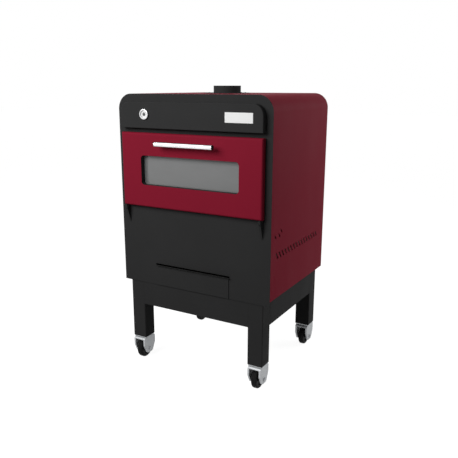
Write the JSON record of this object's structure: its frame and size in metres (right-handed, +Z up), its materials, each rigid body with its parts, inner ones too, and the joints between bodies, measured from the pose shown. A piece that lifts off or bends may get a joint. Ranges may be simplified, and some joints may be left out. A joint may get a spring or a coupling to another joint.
{
  "type": "charcoal oven",
  "caption": "Freestanding charcoal oven with a drop-down glazed door, an ash drawer, a dial thermometer and a flue collar, on a square-tube base with swivel casters.",
  "frame": {"origin": "on the floor, under the middle of the bounding box", "axes": "+Z up, -Y towards the front with the door, +X to the right seen from the front"},
  "size_m": [0.9, 0.816, 1.54],
  "materials": {
    "red_enamel": "satin red enamel",
    "black_paint": "satin black paint",
    "dark_steel": "heat-darkened sheet steel",
    "cast_iron": "rough cast",
    "brushed_steel": "brushed",
    "polished_steel": "polished",
    "zinc": "zinc plated",
    "rubber": "matt",
    "black_plastic": "matt",
    "glass": "tinted ceramic glass",
    "white_enamel": "white",
    "mineral_wool": "fibre board",
    "rope": "woven glass rope"
  },
  "bodies": {
    "body": {"outer_shell": "red_enamel", "front_fascia": "black_paint", "control_panel": "black_paint", "bare_plate": "white_enamel", "thermometer_bezel": "polished_steel", "thermometer_dial": "white_enamel", "thermometer_lens": "glass", "rear_cover": "black_paint", "bottom_plate": "black_paint", "oven_chamber": "dark_steel", "firebox_hopper": "dark_steel", "charcoal_grate": "cast_iron", "insulation_blanket": "mineral_wool", "flue_flange": "black_paint", "flue_collar": "black_paint", "rack_runner_left": "brushed_steel", "rack_runner_right": "brushed_steel", "drawer_rail_left": "brushed_steel", "drawer_rail_right": "brushed_steel", "hinge_lug_left": "black_paint", "hinge_lug_right": "black_paint", "cooking_grid_lower": "brushed_steel", "cooking_grid_upper": "brushed_steel", "apron_front": "black_paint", "apron_rear": "black_paint", "apron_left": "black_paint", "apron_right": "black_paint", "leg_front_left": "black_paint", "leg_front_right": "black_paint", "leg_rear_left": "black_paint", "leg_rear_right": "black_paint", "caster_head_front_left": "zinc", "caster_head_front_right": "zinc", "caster_head_rear_left": "zinc", "caster_head_rear_right": "zinc"},
    "door": {"door_skin": "red_enamel", "door_frame": "dark_steel", "window_jamb": "black_paint", "door_insulation": "mineral_wool", "door_glass": "glass", "plug_insulation": "mineral_wool", "door_rope_seal": "rope", "handle_bar": "polished_steel", "handle_end_cap_left": "black_plastic", "handle_end_cap_right": "black_plastic", "handle_post_left": "brushed_steel", "handle_post_right": "brushed_steel", "door_hinge_leaf_left": "dark_steel", "door_hinge_leaf_right": "dark_steel"},
    "ash_drawer": {"ash_drawer_front": "black_paint", "ash_drawer_tray": "dark_steel"},
    "needle": {"thermometer_needle": "black_plastic"},
    "fork_front_left": {"caster_fork_front_left": "zinc"},
    "fork_front_right": {"caster_fork_front_right": "zinc"},
    "fork_rear_left": {"caster_fork_rear_left": "zinc"},
    "fork_rear_right": {"caster_fork_rear_right": "zinc"},
    "wheel_front_left": {"caster_wheel_front_left": "rubber"},
    "wheel_front_right": {"caster_wheel_front_right": "rubber"},
    "wheel_rear_left": {"caster_wheel_rear_left": "rubber"},
    "wheel_rear_right": {"caster_wheel_rear_right": "rubber"}
  },
  "joints": [
    {"name": "door_hinge", "type": "hinge", "parent": "body", "child": "door", "pos_m": [0, -0.342, 0.903], "axis": [1, 0, 0], "range_deg": [0, 90]},
    {"name": "ash_drawer_slide", "type": "slide", "parent": "body", "child": "ash_drawer", "axis": [0, -1, 0], "range_m": [0, 0.42]},
    {"name": "needle_turn", "type": "hinge", "parent": "body", "child": "needle", "pos_m": [-0.258, -0.3589, 1.399], "axis": [0, 1, 0], "range_deg": [0, 270]},
    {"name": "swivel_front_left", "type": "hinge", "parent": "body", "child": "fork_front_left", "pos_m": [-0.37, -0.275, 0.14], "axis": [0, 0, 1], "continuous": true},
    {"name": "swivel_front_right", "type": "hinge", "parent": "body", "child": "fork_front_right", "pos_m": [0.37, -0.275, 0.14], "axis": [0, 0, 1], "continuous": true},
    {"name": "swivel_rear_left", "type": "hinge", "parent": "body", "child": "fork_rear_left", "pos_m": [-0.37, 0.353, 0.14], "axis": [0, 0, 1], "continuous": true},
    {"name": "swivel_rear_right", "type": "hinge", "parent": "body", "child": "fork_rear_right", "pos_m": [0.37, 0.353, 0.14], "axis": [0, 0, 1], "continuous": true},
    {"name": "roll_front_left", "type": "hinge", "parent": "fork_front_left", "child": "wheel_front_left", "pos_m": [-0.37, -0.275, 0.055], "axis": [1, 0, 0], "continuous": true},
    {"name": "roll_front_right", "type": "hinge", "parent": "fork_front_right", "child": "wheel_front_right", "pos_m": [0.37, -0.275, 0.055], "axis": [1, 0, 0], "continuous": true},
    {"name": "roll_rear_left", "type": "hinge", "parent": "fork_rear_left", "child": "wheel_rear_left", "pos_m": [-0.37, 0.353, 0.055], "axis": [1, 0, 0], "continuous": true},
    {"name": "roll_rear_right", "type": "hinge", "parent": "fork_rear_right", "child": "wheel_rear_right", "pos_m": [0.37, 0.353, 0.055], "axis": [1, 0, 0], "continuous": true}
  ]
}
